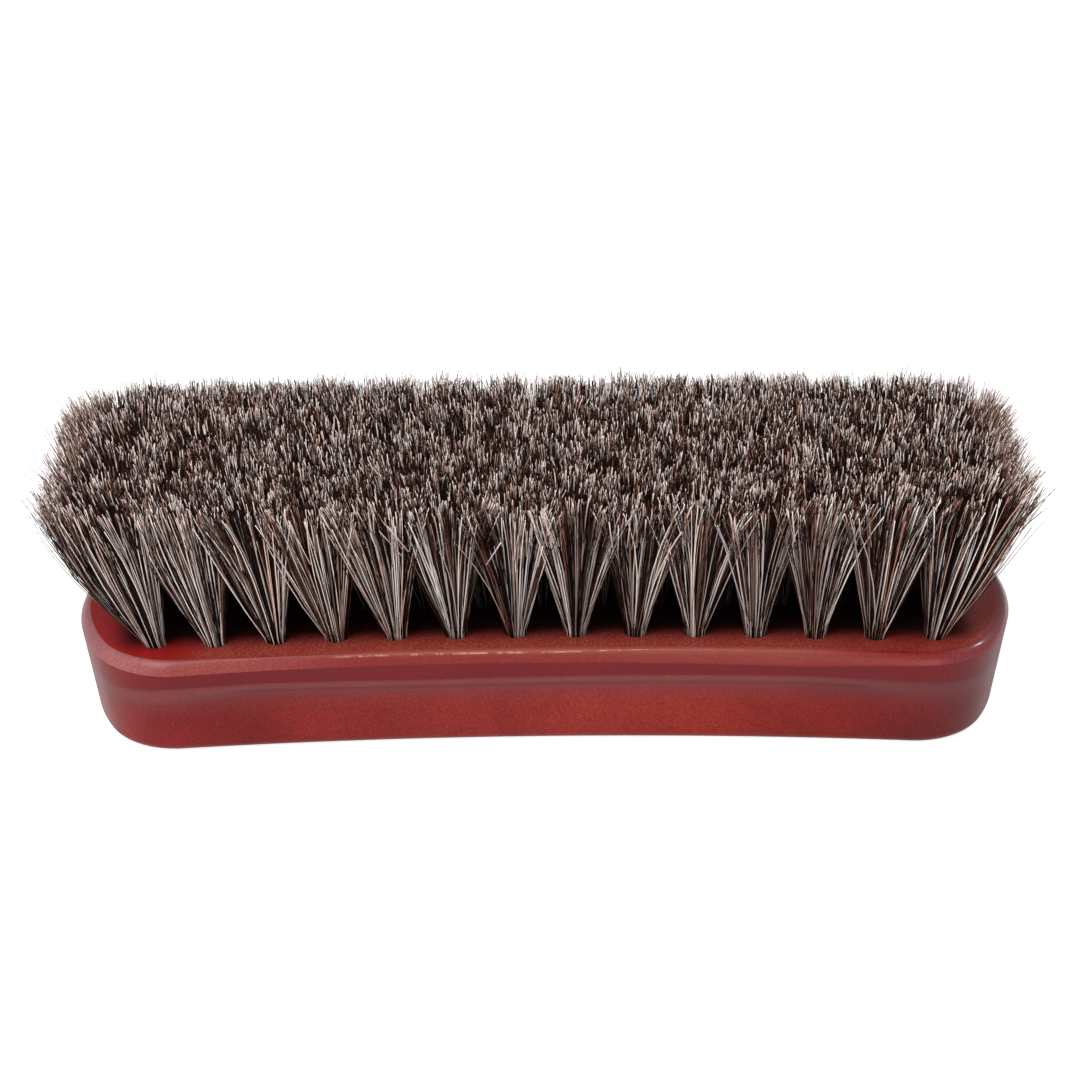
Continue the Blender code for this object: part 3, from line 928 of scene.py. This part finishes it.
def strand_surface(paths, radii, colours, bends):
    """(points, triangles, colours): each strand is a tube of three sides along its path.

    A point lies at the path plus the radius times the cosine and sine of its angle, in two
    directions square to the strand's own. The root is flat and the tip is pointed.
    """
    count = len(paths)
    heading = np.gradient(paths, axis=1)
    heading /= np.linalg.norm(heading, axis=2, keepdims=True)
    first = np.cross(heading, [0.0, 1.0, 0.0])
    first /= np.linalg.norm(first, axis=2, keepdims=True)
    second = np.cross(heading, first)
    angles = np.arange(STRAND_SIDES) * 2 * math.pi / STRAND_SIDES
    ring = np.cos(angles)[:, None] * first[:, :, None] + np.sin(angles)[:, None] * second[:, :, None]
    taper = np.interp(bends, [0.0, 0.5, 1.0], [ROOT_THINNING, 1.0, TIP_THINNING])
    size = (radii[:, None] * taper)[:, :, None, None]
    points = (paths[:, :, None] + size * ring).reshape(count, -1, 3)
    tips = paths[:, -1:] + heading[:, -1:] * radii[:, None, None] * POINT_LENGTH
    points = np.concatenate([points, tips], axis=1)

    apex = len(bends) * STRAND_SIDES
    last = apex - STRAND_SIDES
    cone = [(last + i, last + (i + 1) % STRAND_SIDES, apex) for i in range(STRAND_SIDES)]
    strand = np.vstack([ring_strip(len(bends), STRAND_SIDES), cone, [(2, 1, 0)]])
    triangles = strand[None] + np.arange(count)[:, None, None] * points.shape[1]
    along = np.append(np.repeat(np.arange(len(bends)), STRAND_SIDES), len(bends) - 1)
    return points.reshape(-1, 3), triangles.reshape(-1, 3), colours[:, along].reshape(-1, 3)


def core_surface(rng, tuft, all_tips):
    """(points, triangles, colours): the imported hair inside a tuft, up to where strands part.

    A loft round the tuft's lean. At the share s of the height its reach is the mouth's radius,
    plus s to the power FAN_GROWTH of the way to the cell's reach less the depth of the strands
    outside it. Above CORE_TOP it closes in a rough dome.
    """
    angles, reaches = cell_outline(tuft, all_tips)
    angles_round = np.arange(CORE_SIDES) * 2 * math.pi / CORE_SIDES - math.pi
    reach = np.interp(angles_round, angles, reaches, period=2 * math.pi)
    reach = np.maximum(reach - CORE_INSIDE - TUFT_OVERLAP / 2, CORE_LEAST_REACH)
    share = np.array([*CORE_WALL, *CORE_DOME])
    share[len(CORE_WALL) :] *= CORE_TOP
    width = np.array([*np.ones(len(CORE_WALL)), *CORE_DOME_WIDTHS])
    mouth = MOUTH_RADIUS * CORE_MOUTH
    out = mouth + (reach[None] - mouth) * np.maximum(share, 0.0)[:, None] ** FAN_GROWTH
    out = out * width[:, None] * rng.normal(1.0, CORE_UNEVENNESS, (1, CORE_SIDES))
    lean = (tuft.tips - tuft.mouth)[:2]
    flat = tuft.mouth[:2] + lean * share[:, None, None] + round_directions(angles_round) * out[..., None]
    on_dome = (width < 1) & (width > CORE_DOME_WIDTHS[-1])
    rough = rng.normal(0, CORE_ROUGHNESS, (len(share), CORE_SIDES)) * on_dome[:, None]
    up = FACE + share[:, None] * (tuft.tips[2] - FACE) + rough
    points = np.concatenate([flat, up[..., None]], axis=2).reshape(-1, 3)
    centre = tuft.mouth[:2] + lean * share[0]
    points = np.vstack([points, [[*centre, FACE + share[0] * (tuft.tips[2] - FACE)]]])
    base = [(i, len(points) - 1, (i + 1) % CORE_SIDES) for i in range(CORE_SIDES)][::-1]
    triangles = np.vstack([ring_strip(len(share), CORE_SIDES), base])

    lightness = np.clip(rng.normal(*CORE_LIGHTNESS, len(points)), *CORE_LIGHTNESS_LIMITS)
    # Painted shade: the core is darker towards its root
    shade = CORE_ROOT_SHADE + (1 - CORE_ROOT_SHADE) * smooth_step(share / CORE_FULL_LIGHT)
    shade = np.append(np.repeat(shade, CORE_SIDES), CORE_ROOT_SHADE)
    return points, triangles, ((lightness * shade)[:, None] * CORE_TONE) ** DISPLAY_GAMMA


def tones_along(colours, bends, exposed, downy):
    """Each strand's colour at its bends: painted shade at a deep root, and downy towards an outer tip.
    """
    share = np.maximum(bends, 0.0)
    root_light = (DEEP_ROOT_LIGHT + (1 - DEEP_ROOT_LIGHT) * exposed)[:, None]
    full_at = (FULL_LIGHT_SHARE - FULL_LIGHT_SOONER * exposed)[:, None]
    light = root_light + (1 - root_light) * smooth_step(share[None] / full_at)
    tones = colours[:, None] * light[..., None]
    down = downy[:, None] * smooth_step((share - DOWN_START) / (1 - DOWN_START))
    return tones * (1 - down[..., None]) + DOWN**DISPLAY_GAMMA * down[..., None]


def tuft_mesh(name, tuft, all_tips, rng):
    """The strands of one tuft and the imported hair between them, as one mesh."""
    paths, radius, lock, exposed, outer = tuft_strands(rng, tuft, all_tips)
    colours, thickness = strand_tones(rng, lock, exposed * (radius > OPEN_RADIUS))
    radii = STRAND_RADIUS * (thickness * (1 - OUTER_FINENESS * outer))
    downy = DOWN_SHARE * outer * rng.random(STRANDS)
    at_end = END_LONG_SHARE * (abs(tuft.mouth[0]) > END_TUFTS)
    long_share = np.where(radius < LONG_RADIUS, *LONG_SHARES) + outer + at_end
    long = rng.random(STRANDS) < long_share
    parts = [core_surface(rng, tuft, all_tips)]
    for chosen, bends in ((long, LONG_BENDS), (~long, SHORT_BENDS)):
        tones = tones_along(colours[chosen], bends, exposed[chosen], downy[chosen])
        parts.append(strand_surface(paths(chosen, bends), radii[chosen], tones, bends))

    starts = np.cumsum([0] + [len(points) for points, _, _ in parts])
    points = np.concatenate([points for points, _, _ in parts])
    triangles = np.concatenate([faces + start for (_, faces, _), start in zip(parts, starts)])
    tones = np.concatenate([tones for _, _, tones in parts])
    mesh = mesh_of_triangles(name, points, triangles)
    add_values(mesh, "strand_colour", "FLOAT_COLOR", np.column_stack([tones, np.ones(len(tones))]))
    return mesh


def add_tufts(tufts):
    """The hair of every tuft. Each has its own random draws, so one can change without the rest."""
    hair = horse_hair()
    all_tips = np.array([tuft.tips for tuft in tufts])
    for number, tuft in enumerate(tufts):
        name = tuft.name.replace("tuft", "hair")
        mesh = tuft_mesh(name, tuft, all_tips, np.random.default_rng(SEED + number))
        add_piece(name, mesh, hair, tuft.name)


def add_floor():
    """A white sheet under the brush. Seen straight or in a gloss it is lifted to white."""
    size = SHEET_HALF_SIZE
    corners = [(-size, -size), (size, -size), (size, size), (-size, size)]
    mesh = bpy.data.meshes.new("floor")
    mesh.from_pydata([(x, y, SHEET_HEIGHT) for x, y in corners], [], [(0, 1, 2, 3)])
    floor = bpy.data.objects.new("floor", mesh)
    bpy.context.scene.collection.objects.link(floor)
    material, tree, shader = new_material("white_sheet")
    shader.inputs["Base Color"].default_value = (SHEET_TONE, SHEET_TONE, SHEET_TONE, 1.0)
    shader.inputs["Roughness"].default_value = 0.9
    shader.inputs["Specular IOR Level"].default_value = 0.1
    rays = add_node(tree, "ShaderNodeLightPath").outputs
    in_gloss = calculate(tree, "MAXIMUM", rays["Is Glossy Ray"], rays["Is Transmission Ray"])
    in_gloss = multiply(tree, in_gloss, SHEET_LIFT_IN_GLOSS)
    straight = multiply(tree, rays["Is Camera Ray"], SHEET_LIFT)
    shader.inputs["Emission Color"].default_value = (1.0, 1.0, 1.0, 1.0)
    lift = calculate(tree, "MAXIMUM", straight, in_gloss)
    tree.links.new(lift, shader.inputs["Emission Strength"])
    mesh.materials.append(material)


def add_world():
    """Even light all round, and plain white where the camera sees past the sheet."""
    world = bpy.data.worlds.new("studio")
    world.use_nodes = True
    tree = world.node_tree
    background = tree.nodes["Background"]
    background.inputs["Color"].default_value = (1.0, 1.0, 1.0, 1.0)
    rays = add_node(tree, "ShaderNodeLightPath").outputs
    strength = remap(tree, rays["Is Camera Ray"], 0.0, 1.0, WORLD_LEVEL, 1.0)
    tree.links.new(strength, background.inputs["Strength"])
    bpy.context.scene.world = world


def add_lamp(name, place, size, level, colour=(1.0, 1.0, 1.0)):
    """A square soft light aimed at the brush. level 1 lights a white card there to full white."""
    lamp = bpy.data.lights.new(name, "AREA")
    lamp.shape = "SQUARE"
    lamp.size = size
    lamp.color = colour
    place = Vector(place)
    lamp.energy = level * math.pi**2 * (place - LAMP_AIM).length_squared
    item = bpy.data.objects.new(name, lamp)
    item.location = place
    item.rotation_mode = "QUATERNION"
    item.rotation_quaternion = (LAMP_AIM - place).to_track_quat("-Z", "Y")
    bpy.context.scene.collection.objects.link(item)


def add_camera():
    """The photograph's viewpoint, from a fit to the outline of the block's rim."""
    distance = 0.42
    aim = Vector((-0.0008, 0.0, 0.0289))
    azimuth = math.radians(-0.3)
    elevation = math.radians(27.0)
    roll = math.radians(-0.47)
    back = Vector(
        (
            math.sin(azimuth) * math.cos(elevation),
            -math.cos(azimuth) * math.cos(elevation),
            math.sin(elevation),
        )
    )
    data = bpy.data.cameras.new("camera")
    data.lens = 76.8
    data.sensor_width = 36.0
    data.clip_start = 0.01
    camera = bpy.data.objects.new("camera", data)
    camera.location = aim + distance * back
    camera.rotation_mode = "QUATERNION"
    camera.rotation_quaternion = (-back).to_track_quat("-Z", "Y") @ Quaternion((0, 0, 1), roll)
    bpy.context.scene.collection.objects.link(camera)
    bpy.context.scene.camera = camera


tufts = [Tuft(node) for name, node in sorted(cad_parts.items()) if name.startswith("tuft")]
add_camera()
add_world()
add_lamp("key", (-0.30, -0.46, 0.66), size=0.40, level=0.80)
add_lamp("front", (0.22, -0.66, 0.26), size=0.40, level=0.42)
add_lamp("window", (0.62, 0.16, 0.49), size=0.09, level=0.15, colour=(0.80, 0.84, 1.0))
add_floor()
add_block(tufts)
add_tufts(tufts)

bpy.context.scene.view_settings.view_transform = "Standard"
